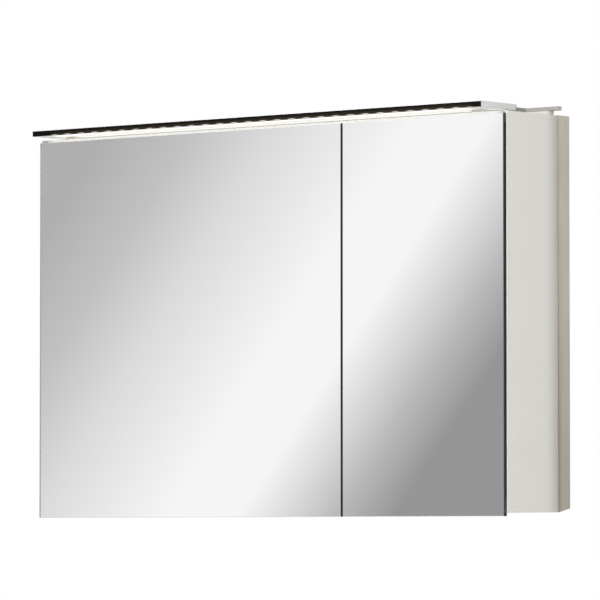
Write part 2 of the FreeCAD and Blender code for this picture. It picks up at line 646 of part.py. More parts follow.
def rocker():
    """Rocker with two trunnions, resting in its on position."""
    half_width = WINDOW_WIDTH / 2 - ROCKER_SIDE_GAP
    half_height = WINDOW_HEIGHT / 2 - ROCKER_END_GAP
    y = SWITCH_CENTRE_Y - half_width
    profile = [
        V(ROCKER_PIVOT_X - ROCKER_SKIRT, y, SWITCH_CENTRE_Z - half_height),
        V(ROCKER_PIVOT_X + ROCKER_RISE, y, SWITCH_CENTRE_Z - half_height),
        V(ROCKER_PIVOT_X + ROCKER_DIP, y, SWITCH_CENTRE_Z),
        V(ROCKER_PIVOT_X + ROCKER_RISE, y, SWITCH_CENTRE_Z + half_height),
        V(ROCKER_PIVOT_X - ROCKER_SKIRT, y, SWITCH_CENTRE_Z + half_height),
    ]
    body = prism(profile, V(0, 2 * half_width, 0))
    trunnion = rod(TRUNNION_RADIUS, V(ROCKER_PIVOT_X, y - TRUNNION_LENGTH, SWITCH_CENTRE_Z),
                   V(ROCKER_PIVOT_X, y + 2 * half_width + TRUNNION_LENGTH, SWITCH_CENTRE_Z))
    whole = body.fuse(trunnion).removeSplitter()
    whole.rotate(V(ROCKER_PIVOT_X, SWITCH_CENTRE_Y, SWITCH_CENTRE_Z), V(0, 1, 0), -ROCKER_TILT)
    return whole


def switch():
    """Surface-mounted rocker switch on the partition."""
    case = box(PARTITION_RIGHT, SWITCH_FACE_X, SWITCH_FRONT_Y, SWITCH_FRONT_Y + SWITCH_WIDTH,
               SWITCH_CENTRE_Z - SWITCH_HEIGHT / 2, SWITCH_CENTRE_Z + SWITCH_HEIGHT / 2)
    corners = edges_along(case, V(1, 0, 0), lambda p: True)
    case = case.makeFillet(SWITCH_EDGE_RADIUS, corners)
    window = box(SWITCH_FACE_X - WINDOW_DEPTH, SWITCH_FACE_X + 1, SWITCH_CENTRE_Y - WINDOW_WIDTH / 2,
                 SWITCH_CENTRE_Y + WINDOW_WIDTH / 2, SWITCH_CENTRE_Z - WINDOW_HEIGHT / 2,
                 SWITCH_CENTRE_Z + WINDOW_HEIGHT / 2)
    reach = WINDOW_WIDTH / 2 - ROCKER_SIDE_GAP + TRUNNION_LENGTH + ROCKER_SIDE_GAP
    bearing = rod(TRUNNION_RADIUS + TRUNNION_CLEARANCE,
                  V(ROCKER_PIVOT_X, SWITCH_CENTRE_Y - reach, SWITCH_CENTRE_Z),
                  V(ROCKER_PIVOT_X, SWITCH_CENTRE_Y + reach, SWITCH_CENTRE_Z))
    return {
        "switch_case": case.cut([window, bearing]),
        "switch_rocker": rocker(),
    }


def cabinet():
    """Every node of the cabinet, by name."""
    nodes = {}
    for section in (carcass, frame, cover_rail, doors, hinges, shelves, lamp, lamp_brackets, wiring, switch):
        nodes.update(section())
    return nodes


os.makedirs("parts", exist_ok=True)
for node, shape in cabinet().items():
    shape.exportStep(f"parts/{node}.step")
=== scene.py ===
import math

import bmesh
import bpy
from mathutils import Matrix, Vector


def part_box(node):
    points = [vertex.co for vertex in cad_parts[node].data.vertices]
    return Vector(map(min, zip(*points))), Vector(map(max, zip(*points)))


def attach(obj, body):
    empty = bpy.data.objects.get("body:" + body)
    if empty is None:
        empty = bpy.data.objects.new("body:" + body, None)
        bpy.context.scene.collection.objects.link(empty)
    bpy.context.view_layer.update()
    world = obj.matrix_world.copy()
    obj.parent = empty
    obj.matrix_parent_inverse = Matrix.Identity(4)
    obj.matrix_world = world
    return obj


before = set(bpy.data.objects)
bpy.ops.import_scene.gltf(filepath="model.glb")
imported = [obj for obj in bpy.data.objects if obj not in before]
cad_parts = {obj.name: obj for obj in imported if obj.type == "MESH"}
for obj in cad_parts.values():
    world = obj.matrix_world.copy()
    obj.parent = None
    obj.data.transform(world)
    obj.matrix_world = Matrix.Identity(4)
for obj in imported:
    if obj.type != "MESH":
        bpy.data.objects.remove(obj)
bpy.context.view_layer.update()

# Carcass: sides, top, bottom and partition of 16 mm particle board, faced with a satin light grey-white
# film, with painted shade where it runs round the curved rear edges, and with an edge band in front.
# The sides and the partition have rows of drilled holes for the shelves.


class Wire:
    """A shader socket that can be used in sums."""

    def __init__(self, tree, socket):
        self.tree = tree
        self.socket = socket

    def feed(self, made, sockets):
        for name, value in sockets.items():
            if isinstance(value, Wire):
                self.tree.links.new(value.socket, made.inputs[name])
            else:
                made.inputs[name].default_value = value

    def node(self, kind, settings, sockets, output=0):
        made = self.tree.nodes.new(kind)
        for name, value in settings.items():
            if name == "stops":
                ramp = made.color_ramp.elements
                ramp.remove(ramp[-1])
                ramp[0].position, ramp[0].color = value[0]
                for position, colour in value[1:]:
                    ramp.new(position).color = colour
            else:
                setattr(made, name, value)
        self.feed(made, sockets)
        return Wire(self.tree, made.outputs[output])

    def sum(self, operation, first, second):
        return self.node("ShaderNodeMath", {"operation": operation}, {0: first, 1: second})

    def __add__(self, other):
        return self.sum("ADD", self, other)

    def __radd__(self, other):
        return self.sum("ADD", other, self)

    def __sub__(self, other):
        return self.sum("SUBTRACT", self, other)

    def __rsub__(self, other):
        return self.sum("SUBTRACT", other, self)

    def __mul__(self, other):
        return self.sum("MULTIPLY", self, other)

    def __rmul__(self, other):
        return self.sum("MULTIPLY", other, self)

    def __lt__(self, other):
        return self.sum("LESS_THAN", self, other)

    def __gt__(self, other):
        return self.sum("GREATER_THAN", self, other)

    def __pow__(self, other):
        return self.sum("POWER", self, other)

    def __abs__(self):
        return self.sum("ABSOLUTE", self, 0.0)


def finish(name):
    """A new material, and the place on the piece that its pattern is worked out from."""
    material = bpy.data.materials.new(name)
    material.use_nodes = True
    tree = material.node_tree
    return material, Wire(tree, tree.nodes.new("ShaderNodeTexCoord").outputs["Object"])


def coat(material, place, **sockets):
    """Sets the shader of a material, with underscores for the blanks in its socket names."""
    shader = material.node_tree.nodes["Principled BSDF"]
    place.feed(shader, {name.replace("_", " "): value for name, value in sockets.items()})


def axes(place):
    return [place.node("ShaderNodeSeparateXYZ", {}, {0: place}, n) for n in range(3)]


def stretched(place, scale):
    return place.node("ShaderNodeMapping", {}, {"Vector": place, "Scale": scale})


def speckle(place, scale, detail=2.0):
    return place.node("ShaderNodeTexNoise", {}, {"Vector": place, "Scale": scale, "Detail": detail})


def fade(value, start, end):
    """Rises smoothly from 0 at start to 1 at end."""
    return value.node("ShaderNodeMapRange", {"interpolation_type": "SMOOTHSTEP"},
                      {"Value": value, "From Min": start, "From Max": end})


def tint(share, first, second):
    return share.node("ShaderNodeMix", {"data_type": "RGBA"}, {0: share, 6: first, 7: second}, 2)


def relief(height, strength, depth):
    return height.node("ShaderNodeBump", {}, {"Strength": strength, "Distance": depth, "Height": height})


def dress(material, *names):
    for name in names:
        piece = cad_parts[name]
        if not piece.material_slots:
            piece.data.materials.append(material)
        for slot in piece.material_slots:
            slot.material = material


film_white = (0.690, 0.678, 0.645, 1)
film_shade = (0.660, 0.648, 0.612, 1)
film_curve_shade = (0.560, 0.525, 0.465, 1)
band_white = (0.700, 0.698, 0.682, 1)
band_line = (0.50, 0.48, 0.44, 1)
hole_core_shade = (0.10, 0.085, 0.07, 1)
hole_radius = 0.0025
hole_pitch = 0.032
hole_datum_z = -0.5
hole_lowest_z, hole_highest_z = -0.47, -0.03
hole_rows = (-0.114, -0.054)
inner_half = 0.4345
outer_half = 0.4365
band_y = -0.1645
band_glue = 0.00018
curve_y = (-0.080, -0.030)

white_board, place = finish("white_board")
x, y, z = axes(place)
cloud = speckle(place, 7.0)
pearl = speckle(place, 1400.0)
line = abs(y - band_y) < band_glue
step = place.node("ShaderNodeMath", {"operation": "PINGPONG"}, {0: z - hole_datum_z, 1: hole_pitch / 2})
holes = 0.0
for row in hole_rows:
    holes = ((y - row) * (y - row) + step * step < hole_radius ** 2) + holes
holes = holes * (abs(x) < inner_half) * (z > hole_lowest_z) * (z < hole_highest_z)
# Painted shade: the film darkens where it runs round the curved rear edge of each side.
curve_shade = fade(y, *curve_y) * (abs(x) > outer_half)
colour = tint(curve_shade, tint(cloud, film_white, film_shade), film_curve_shade)
colour = tint(line * 0.6, tint(y < band_y, colour, band_white), band_line)
# The drilled holes are drawn near black: the board's brown core darkened with painted shade inside the
# hole.
colour = tint(holes, colour, hole_core_shade)
coat(white_board, place, Base_Color=colour, Roughness=0.34 + pearl * 0.16 + holes * 0.3,
     Normal=relief(pearl - holes * 4.0, 0.10, 0.0004))
dress(white_board, "side_left", "side_right", "top_board", "bottom_board", "partition", "rail_riser")

# Back panel: a 3 mm hard fibre board, faced in white towards the inside of the cabinet and left
# brown at the back. It lies in the rear of the carcass and is stapled to it.
fibre_light = (0.315, 0.205, 0.122, 1)
fibre_dark = (0.215, 0.132, 0.074, 1)
fibre_pale = (0.43, 0.31, 0.20, 1)
panel_rear_y = -0.0291

back_board, place = finish("back_board")
x, y, z = axes(place)
strands = speckle(stretched(place, (1.0, 1.0, 3.0)), 420.0, 5.0)
lumps = speckle(place, 9.0, 3.0)
shive = fade(speckle(stretched(place, (1.0, 1.0, 2.2)), 900.0), 0.66, 0.74)
rear = y > panel_rear_y
fibre = tint(fade(strands * 0.8 + lumps * 0.2, 0.36, 0.66), fibre_dark, fibre_light)
fibre = tint(shive * 0.5, fibre, fibre_pale)
colour = tint(rear, tint(speckle(place, 7.0), film_white, film_shade), fibre)
coat(back_board, place, Base_Color=colour, Roughness=0.40 + rear * (0.25 + strands * 0.15),
     Normal=relief(strands * rear + speckle(place, 1400.0) * 0.2, 0.25, 0.0005))
dress(back_board, "back_panel")

# Frame behind the carcass: two uprights and two cross rails of board with a matt beige-grey foil, with
# painted shade towards its foot and along its joint, screwed to the back edges of the carcass. It keeps
# the room in which the wiring lies.
foil_beige = (0.490, 0.455, 0.392, 1)
foil_shade = (0.441, 0.408, 0.347, 1)
foil_foot_shade = (0.352, 0.318, 0.268, 1)
foil_joint_shade = (0.270, 0.243, 0.200, 1)
foil_foot_z = (-0.10, -0.52)
foil_joint_y = (-0.016, -0.025)

for name, grain, pieces in (("beige_upright", (220.0, 220.0, 9.0), ("frame_left", "frame_right")),
                            ("beige_cross", (9.0, 220.0, 220.0), ("frame_top", "frame_bottom"))):
    beige_board, place = finish(name)
    x, y, z = axes(place)
    streaks = speckle(stretched(place, grain), 1.0, 4.0)
    cloud = speckle(place, 11.0)
    colour = tint(fade(streaks * 0.55 + cloud * 0.45, 0.35, 0.65), foil_beige, foil_shade)
    low = fade(z, *foil_foot_z)
    joint = fade(y + cloud * 0.004, *foil_joint_y)
    # Painted shade: the foil darkens towards its foot and along its joint with the carcass sides.
    colour = tint(low * 0.75, colour, foil_foot_shade)
    colour = tint(joint * (0.1 + low * 0.75), colour, foil_joint_shade)
    coat(beige_board, place, Base_Color=colour, Roughness=0.50 + streaks * 0.14,
         Normal=relief(streaks, 0.12, 0.0003))
    dress(beige_board, *pieces)

# Hanger plates: punched from 2 mm zinc-plated steel and let in flush with the back of the frame.
# Each is held by four countersunk screws and hangs on a wall screw through its slot.
zinc = (0.64, 0.645, 0.64, 1)
zinc_cool = (0.52, 0.53, 0.545, 1)
zinc_warm = (0.66, 0.63, 0.56, 1)
screw_ring_and_recess_shade = (0.05, 0.05, 0.05, 1)
hanger_x = 0.390
hanger_screw_x = 0.022
hanger_screw_z = 0.011
hanger_head_radius = 0.0040
hanger_rim_half = 0.00022
hanger_cross_half = 0.00045
hanger_cross_reach = 0.0021


def plated(place):
    """Zinc plate: colour and roughness, with the cloudy crystals of the coating."""
    crystals = place.node("ShaderNodeTexVoronoi", {}, {"Vector": place, "Scale": 320.0}, 1)
    grey = place.node("ShaderNodeRGBToBW", {}, {0: crystals})
    stain = fade(speckle(place, 45.0, 3.0), 0.45, 0.75)
    return tint(stain * 0.5, tint(grey, zinc, zinc_cool), zinc_warm), 0.26 + grey * 0.16


steel, place = finish("steel")
colour, roughness = plated(place)
coat(steel, place, Base_Color=colour, Metallic=1.0, Roughness=roughness,
     Normal=relief(speckle(place, 900.0), 0.08, 0.0002))

hanger_steel, place = finish("hanger_steel")
x, y, z = axes(place)
colour, roughness = plated(place)
across = abs(abs(abs(x) - hanger_x) - hanger_screw_x)
upward = abs(abs(z) - hanger_screw_z)
reach = (across * across + upward * upward) ** 0.5
head = reach < hanger_head_radius
rim = abs(reach - hanger_head_radius) < hanger_rim_half
cross = (across < hanger_cross_half) + (upward < hanger_cross_half) > 0.5
cross = cross * (reach < hanger_cross_reach)
# The flush screw heads are drawn: a dark ring round each head and painted shade in its cross recess.
ring_and_recess_shade = (rim + cross > 0.5) * 0.9
coat(hanger_steel, place, Base_Color=tint(ring_and_recess_shade, colour, screw_ring_and_recess_shade), Metallic=1.0,
     Roughness=roughness + ring_and_recess_shade * 0.3, Normal=relief(0.0 - ring_and_recess_shade + head * 0.3, 0.4, 0.0004))
dress(hanger_steel, "hanger_plates")

# Cover rail: a slim painted metal bar on two posts above the frame, with a white riser under it that
# goes on from the back panel. It keeps things from falling behind the cabinet.
rail_light = (0.390, 0.376, 0.340, 1)
rail_shade = (0.355, 0.342, 0.305, 1)

rail_paint, place = finish("rail_paint")
peel = speckle(place, 520.0)
coat(rail_paint, place, Base_Color=tint(speckle(place, 16.0), rail_light, rail_shade),
     Roughness=0.30 + peel * 0.12, Coat_Weight=0.15 + peel * 0.1, Normal=relief(peel, 0.08, 0.0003))
dress(rail_paint, "cover_rail", "cover_rail_posts")

# Shelves: 5 mm toughened glass with ground and polished edges, which look green because the eye
# sees through the long way of the pane. Each rests loose on four turned steel pins.
pane_clear = (0.955, 0.985, 0.975, 1)
edge_green = (0.20, 0.46, 0.37, 1)
edge_pale = (0.36, 0.62, 0.52, 1)
edge_skin = 0.00035
edge_core, edge_arris = 0.0004, 0.0025

for name in ("left_shelf_1", "left_shelf_2", "right_shelf_1", "right_shelf_2"):
    low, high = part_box(name)
    shelf_glass, place = finish("shelf_glass_" + name)
    x, y, z = axes(place)
    ends = abs(x - (low.x + high.x) / 2) > (high.x - low.x) / 2 - edge_skin
    front = abs(y - (low.y + high.y) / 2) > (high.y - low.y) / 2 - edge_skin
    edge = ends + front > 0.5
    coat(shelf_glass, place, Base_Color=pane_clear, Roughness=0.015, Transmission_Weight=1.0, IOR=1.52)
    depth = fade(abs(z - (low.z + high.z) / 2), edge_core, edge_arris)
    green = place.node("ShaderNodeBsdfPrincipled", {}, {
        "Base Color": tint(depth, edge_green, edge_pale), "Roughness": 0.12 + speckle(place, 300.0) * 0.1})
    tree = shelf_glass.node_tree
    pane = Wire(tree, tree.nodes["Principled BSDF"].outputs[0])
    both = place.node("ShaderNodeMixShader", {}, {0: edge * 0.8, 1: pane, 2: green})
    tree.links.new(both.socket, tree.nodes["Material Output"].inputs["Surface"])
    dress(shelf_glass, name)
dress(steel, "shelf_pins")

# Pivot hinges: a painted steel plate is let in flush and screwed to the top and the bottom end of each
# side, white like the film above the doors and black like their edge below. Its nose holds the pin,
# which stands in a bored black shoe in the corner of the door.
paint_black = (0.022, 0.022, 0.023, 1)
paint_worn = (0.060, 0.060, 0.062, 1)
pivot_head_radius = 0.0031
pivot_head_height = 0.0003
plate_screw_x = 0.4419
plate_screw_rows = (-0.1535, -0.1375)
plate_head_z, plate_foot_z = 0.040, -0.542


def cross_heads(name, spots, radius, height, up, body):
    """Round screw heads with a cross recess, one on each spot, standing in the direction up."""
    cross_reach, cross_half, cross_depth, cross_taper, dome = 0.62, 0.14, 0.65, 0.8, 0.55
    lines = (-1.0, -cross_reach, -cross_half, cross_half, cross_reach, 1.0)
    mesh = bmesh.new()
    bmesh.ops.create_grid(mesh, x_segments=5, y_segments=5, size=1.0)
    for vert in mesh.verts:
        vert.co.x = lines[round((vert.co.x + 1) * 2.5)]
        vert.co.y = lines[round((vert.co.y + 1) * 2.5)]
    recess = [face for face in mesh.faces
              if min(abs(c) for c in face.calc_center_median()[:2]) < cross_half
              and max(abs(c) for c in face.calc_center_median()[:2]) < cross_reach]
    for vert in mesh.verts:
        flat = Vector((vert.co.x, vert.co.y))
        if flat.length > 0:
            flat *= max(abs(flat.x), abs(flat.y)) / flat.length
        vert.co = Vector((flat.x * radius, flat.y * radius, height * (1 - dome * flat.length ** 2)))
    rim = [edge for edge in mesh.edges if edge.is_boundary]
    skirt = bmesh.ops.extrude_edge_only(mesh, edges=rim)["geom"]
    for vert in [v for v in skirt if isinstance(v, bmesh.types.BMVert)]:
        vert.co.z = 0.0
    bmesh.ops.holes_fill(mesh, edges=[edge for edge in mesh.edges if edge.is_boundary], sides=0)
    sunk = bmesh.ops.extrude_face_region(mesh, geom=recess)["geom"]
    for vert in [v for v in sunk if isinstance(v, bmesh.types.BMVert)]:
        vert.co.x *= cross_taper
        vert.co.y *= cross_taper
        vert.co.z -= height * cross_depth
    bmesh.ops.delete(mesh, geom=recess, context="FACES")
    bmesh.ops.recalc_face_normals(mesh, faces=mesh.faces)
    one = bpy.data.meshes.new(name + "_one")
    mesh.to_mesh(one)
    mesh.free()
    turn = Vector(up).to_track_quat("Z", "Y").to_matrix().to_4x4()
    every = bmesh.new()
    for number, spot in enumerate(spots):
        before = len(every.verts)
        every.from_mesh(one)
        every.verts.ensure_lookup_table()
        twist = Matrix.Rotation(0.7 + 1.3 * number, 4, "Z")
        seat = Matrix.Translation(spot) @ turn @ twist
        bmesh.ops.transform(every, matrix=seat, verts=every.verts[before:])
    data = bpy.data.meshes.new(name)
    every.to_mesh(data)
    every.free()
    bpy.data.meshes.remove(one)
    heads = bpy.data.objects.new(name, data)
    bpy.context.scene.collection.objects.link(heads)
    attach(heads, body)
    return heads


black_steel, place = finish("black_steel")
orange = speckle(place, 800.0)
rubbed = fade(speckle(place, 130.0, 4.0), 0.60, 0.72)
coat(black_steel, place, Base_Color=tint(rubbed, paint_black, paint_worn), Roughness=0.36 + orange * 0.14,
     Normal=relief(orange, 0.12, 0.0003))
plate_paint, place = finish("plate_paint")
x, y, z = axes(place)
orange = speckle(place, 800.0)
rubbed = fade(speckle(place, 130.0, 4.0), 0.60, 0.72) * 0.3
colour = tint(z > 0, tint(rubbed, paint_black, paint_worn), tint(rubbed, film_white, film_shade))
coat(plate_paint, place, Base_Color=colour, Roughness=0.36 + orange * 0.14,
     Normal=relief(orange, 0.12, 0.0003))
for side in ("left", "right"):
    dress(black_steel, side + "_pivot_shoes")
    dress(plate_paint, side + "_pivot_plates")
    dress(steel, side + "_pivot_pins")

for name, level, up in (("pivot_screws_upper", plate_head_z, (0, 0, 1)),
                        ("pivot_screws_lower", plate_foot_z, (0, 0, -1))):
    plate_spots = [Vector((s * plate_screw_x, y, level)) for s in (-1, 1) for y in plate_screw_rows]
    heads = cross_heads(name, plate_spots, pivot_head_radius, pivot_head_height, up, "cabinet")
    heads.data.materials.append(plate_paint)

# Doors: a 3 mm silvered mirror with ground front edges, bonded over its whole back to a 4 mm board of
# black compact laminate. The backing paint makes the edge of the glass look nearly black, the ground
# ends carry a painted highlight, and the wide one has a narrow frosted rim on its outer side.
silver = (0.960, 0.960, 0.962, 1)
silver_rim = (0.79, 0.80, 0.80, 1)
ground_edge = (0.12, 0.13, 0.13, 1)
ground_end_highlight = (0.60, 0.60, 0.59, 1)
painted_edge = (0.010, 0.012, 0.012, 1)
frost_grey = (0.31, 0.31, 0.305, 1)
frost_width = 0.0034
silver_y = -0.17385
ground_y = -0.1733
aged_rim = (0.0004, 0.0026)
aged_ripple = 0.0006

for side in ("left", "right"):
    low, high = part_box(side + "_mirror")
    mirror, place = finish(side + "_mirror")
    x, y, z = axes(place)
    off_side = (high.x - low.x) / 2 - abs(x - (low.x + high.x) / 2)
    off_end = (high.z - low.z) / 2 - abs(z - (low.z + high.z) / 2)
    rim = off_side.sum("MINIMUM", off_side, off_end)
    face = y < silver_y
    ground = (y < ground_y) - face
    # Painted highlight: the ground ends at top and bottom are made lighter than the ground sides.
    ends = off_end < off_side
    aged = (1 - fade(rim + speckle(place, 260.0, 3.0) * aged_ripple, *aged_rim)) * (1 - ends)
    glass = tint(ground, painted_edge, tint(ends, ground_edge, ground_end_highlight))
    breath = fade(speckle(place, 4.0, 3.0), 0.45, 0.75)
    colour = tint(face, glass, tint(aged * 0.8, silver, silver_rim))
    metal = face + ground * 0.3
    if side == "left":
        frosted = (x < low.x + frost_width) * face
        colour = tint(frosted, colour, frost_grey)
        metal = metal - frosted
    coat(mirror, place, Base_Color=colour, Metallic=metal, Specular_IOR_Level=0.12,
         Roughness=0.006 + breath * 0.012 + (1 - metal) * 0.14)
    dress(mirror, side + "_mirror")

laminate_black = (0.014, 0.014, 0.015, 1)
laminate_fleck = (0.026, 0.026, 0.027, 1)

black_board, place = finish("black_board")
fleck = speckle(place, 950.0)
coat(black_board, place, Base_Color=tint(fade(fleck, 0.4, 0.7), laminate_black, laminate_fleck),
     Roughness=0.42 + fleck * 0.2, Specular_IOR_Level=0.10, Normal=relief(fleck, 0.15, 0.0003))
dress(black_board, "left_carrier", "right_carrier")

# Catches: a magnet with two steel poles in a grey moulded case on each face of the partition, a
# strike plate glued to each door, and clear soft pads on the front edge of the bottom board.
case_grey = (0.27, 0.27, 0.265, 1)
case_shade = (0.23, 0.23, 0.225, 1)
pole_steel = (0.62, 0.62, 0.61, 1)
pole_y = -0.1648
pole_off, pole_half_width, pole_half_height = 0.0026, 0.0009, 0.0145
partition_x = 0.151
catch_off, catch_z = 0.0135, -0.406
pad_clear = (0.78, 0.78, 0.76, 1)
pad_shade = (0.70, 0.70, 0.67, 1)

catch_case, place = finish("catch_case")
x, y, z = axes(place)
mould = speckle(place, 700.0)
across = abs(abs(x - partition_x) - catch_off)
poles = (abs(across - pole_off) < pole_half_width) * (abs(z - catch_z) < pole_half_height) * (y < pole_y)
colour = tint(poles, tint(speckle(place, 30.0), case_grey, case_shade), pole_steel)
coat(catch_case, place, Base_Color=colour, Metallic=poles, Roughness=0.30 + mould * 0.12,
     Normal=relief(mould + poles * 0.6, 0.08, 0.0003))
dress(catch_case, "door_magnets")
dress(steel, "left_strike", "right_strike")

clear_bumper, place = finish("clear_bumper")
soft = speckle(place, 300.0)
coat(clear_bumper, place, Base_Color=tint(soft, pad_clear, pad_shade), Roughness=0.22 + soft * 0.15,
     Normal=relief(soft, 0.1, 0.0004))
dress(clear_bumper, "door_bumpers")

# Lamp: a flat extruded aluminium section, satin anodised, over the whole width. A gloss black strip
# under a narrow light lip closes its front, light grey moulded caps close its ends.
anodised = (0.80, 0.80, 0.795, 1)
anodised_line = (0.72, 0.72, 0.715, 1)

lamp_aluminium, place = finish("lamp_aluminium")
draw = speckle(stretched(place, (4.0, 900.0, 900.0)), 1.0, 3.0)
coat(lamp_aluminium, place, Base_Color=tint(draw, anodised, anodised_line), Metallic=0.55,
     Roughness=0.36 + draw * 0.16, Normal=relief(draw, 0.06, 0.0002))
dress(lamp_aluminium, "lamp_housing")

cap_light = (0.665, 0.665, 0.655, 1)
cap_shade = (0.625, 0.625, 0.615, 1)

lamp_grey, place = finish("lamp_grey")
mould = speckle(place, 620.0)
coat(lamp_grey, place, Base_Color=tint(speckle(place, 40.0), cap_light, cap_shade),
     Roughness=0.38 + mould * 0.14, Normal=relief(mould, 0.10, 0.0003))
dress(lamp_grey, "lamp_cap_left", "lamp_cap_right")

# Light of the lamp: a row of 31 chips on a white board behind the black strip shines down through a
# wide opal pane, whose short end pieces stay dim. Their glow also shows as soft arches in the lower
# edge of the strip, along which a brown glow is painted into the strip's colour where the pane is lit.
chip_count = 31
chip_pitch = 0.864 / chip_count
chip_light = (1.0, 0.985, 0.93, 1)
board_low, board_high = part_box("lamp_light_board")
chip_row_y = (board_low.y + board_high.y) / 2
strip_black = (0.0020, 0.0018, 0.0015, 1)
strip_smoke = (0.0060, 0.0050, 0.0040, 1)
strip_painted_glow = (0.0270, 0.0220, 0.0125, 1)
strip_lip = (0.86, 0.86, 0.85, 1)
strip_unlit = (0, 0, 0, 1)
strip_low, strip_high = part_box("lamp_front_strip")
strip_front_y = strip_low.y + 0.0003
strip_lip_z = strip_high.z - 0.0009
strip_painted_glow_z = (0.0502, 0.0432)
strip_lit_left, strip_lit_right = (-0.402, -0.384), (0.424, 0.408)
arch_foot_z = 0.0432
arch_height = 0.0010
arch_soft = 0.0009


def chip_nearness(x):
    """1 straight below a chip, 0 midway between two."""
    swing = x.node("ShaderNodeMath", {"operation": "COSINE"}, {0: x * (2 * math.pi / chip_pitch)})
    return swing * 0.5 + 0.5


lamp_black, place = finish("lamp_black")
x, y, z = axes(place)
near = chip_nearness(x)
lit = fade(x, *strip_lit_left) * fade(x, *strip_lit_right)
arch = 1 - fade(z - arch_foot_z - near * arch_height, -arch_soft, arch_soft)
arch = arch * fade(near, 0.1, 0.8) * lit * (y < strip_front_y)
smear = speckle(stretched(place, (9.0, 260.0, 260.0)), 1.0, 3.0)
# Painted glow: the strip's base colour turns brown towards its lower edge where the pane is lit.
glow_foot = fade(z, *strip_painted_glow_z) * lit
lip = z > strip_lip_z
colour = tint(glow_foot, tint(smear, strip_black, strip_smoke), strip_painted_glow)
colour = tint(lip, colour, strip_lip)
coat(lamp_black, place, Base_Color=colour, Roughness=0.07 + smear * 0.09 + lip * 0.3,
     Specular_IOR_Level=0.07, Emission_Color=tint(arch, strip_unlit, chip_light), Emission_Strength=1.0)
dress(lamp_black, "lamp_front_strip")

opal_light = (0.84, 0.83, 0.80, 1)
opal_dim = (0.37, 0.366, 0.356, 1)
opal_end = (0.31, 0.308, 0.300, 1)
opal_joint = (0.10, 0.08, 0.06, 1)
opal_frost = (0.42, 0.42, 0.41, 1)
opal_frost_shade = (0.38, 0.38, 0.37, 1)
pane_joint_x = 0.4035
pane_joint_half = 0.0005
pane_bright_half = (0.004, 0.026)
pane_spread = 0.075

opal, place = finish("opal")
x, y, z = axes(place)
row = 1 - fade(abs(y - chip_row_y), *pane_bright_half)
spread = 1 - fade(y, chip_row_y, chip_row_y + pane_spread)
joint = abs(abs(x) - pane_joint_x) < pane_joint_half
light = row * (0.55 + fade(chip_nearness(x), 0.0, 0.9) * 0.45) * 0.6 + spread * 0.4
glow = tint(abs(x) > pane_joint_x, tint(light, opal_dim, opal_light), opal_end)
glow = tint(joint * 0.75, glow, opal_joint)
frost = speckle(place, 800.0)
coat(opal, place, Base_Color=tint(frost, opal_frost, opal_frost_shade), Roughness=0.40 + frost * 0.15,
     Specular_IOR_Level=0.2, Emission_Color=glow, Emission_Strength=1.0)
dress(opal, "lamp_diffuser")

pane_low, pane_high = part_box("lamp_diffuser")
shine_depth = 0.050
shine_drop = 0.0004
shine = bpy.data.lights.new("lamp_shine", "AREA")
shine.shape = "RECTANGLE"
shine.size = pane_high.x - pane_low.x
shine.size_y = shine_depth
shine.energy = 0.19
shine.color = chip_light[:3]
below = bpy.data.objects.new("lamp_shine", shine)
below.location = (0, (pane_low.y + pane_high.y) / 2, pane_low.z - shine_drop)
below.visible_glossy = False
below.visible_camera = False
bpy.context.scene.collection.objects.link(below)

mask_white = (0.84, 0.84, 0.82, 1)
track_gold = (0.70, 0.62, 0.42, 1)
track_off, track_half = 0.0042, 0.0005

light_board, place = finish("light_board")
x, y, z = axes(place)
track = abs(abs(y - chip_row_y) - track_off) < track_half
coat(light_board, place, Base_Color=tint(track, mask_white, track_gold),
     Roughness=0.34 + speckle(place, 500.0) * 0.16)
dress(light_board, "lamp_light_board")

chip_case = (0.85, 0.85, 0.82, 1)
chip_yellow = (0.95, 0.86, 0.35, 1)
chip_case_glow = (0.5, 0.49, 0.45, 1)

led, place = finish("led")
x, y, z = axes(place)
chip = fade(chip_nearness(x), 0.90, 0.985)
coat(led, place, Base_Color=tint(chip, chip_case, chip_yellow), Roughness=0.22 + (1 - chip) * 0.2,
     Emission_Color=tint(chip, chip_case_glow, chip_light), Emission_Strength=3.0)
dress(led, "lamp_leds")

# Lamp brackets: the lamp lies on two flat bars, and two painted angles hold it behind its rear corners.
# Each stands on two black rubber spacers on the top board, with a screw through each of them.
# Olive-grey paint darkened with painted shade, as the angles lie in the lamp's shadow.
bracket_olive_shaded = (0.275, 0.262, 0.212, 1)
bracket_olive_shaded_deep = (0.225, 0.212, 0.168, 1)

bracket_paint, place = finish("bracket_paint")
peel = speckle(place, 520.0)
coat(bracket_paint, place, Base_Color=tint(speckle(place, 24.0), bracket_olive_shaded, bracket_olive_shaded_deep),
     Metallic=0.25, Roughness=0.32 + peel * 0.14, Normal=relief(peel, 0.08, 0.0003))
dress(bracket_paint, "lamp_bracket_left", "lamp_bracket_right")
dress(rail_paint, "lamp_rests")

rubber_black = (0.026, 0.026, 0.026, 1)
rubber_bloom = (0.046, 0.045, 0.044, 1)

rubber, place = finish("rubber")
bloom = speckle(place, 260.0, 3.0)
coat(rubber, place, Base_Color=tint(bloom, rubber_black, rubber_bloom), Roughness=0.55 + bloom * 0.2,
     Normal=relief(bloom, 0.15, 0.0004))
dress(rubber, "lamp_spacers")

foot_low, foot_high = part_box("lamp_spacers")
bracket_flange = 0.005
bracket_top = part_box("lamp_bracket_right")[0].z + bracket_flange
bracket_head_radius, bracket_head_height = 0.0036, 0.0016
foot_radius = 0.004
bracket_spots = [Vector((s * (foot_high.x - foot_radius), y, bracket_top)) for s in (-1, 1)
                 for y in (foot_low.y + foot_radius, foot_high.y - foot_radius)]
heads = cross_heads("bracket_screws", bracket_spots, bracket_head_radius, bracket_head_height,
                    (0, 0, 1), "cabinet")
heads.data.materials.append(steel)

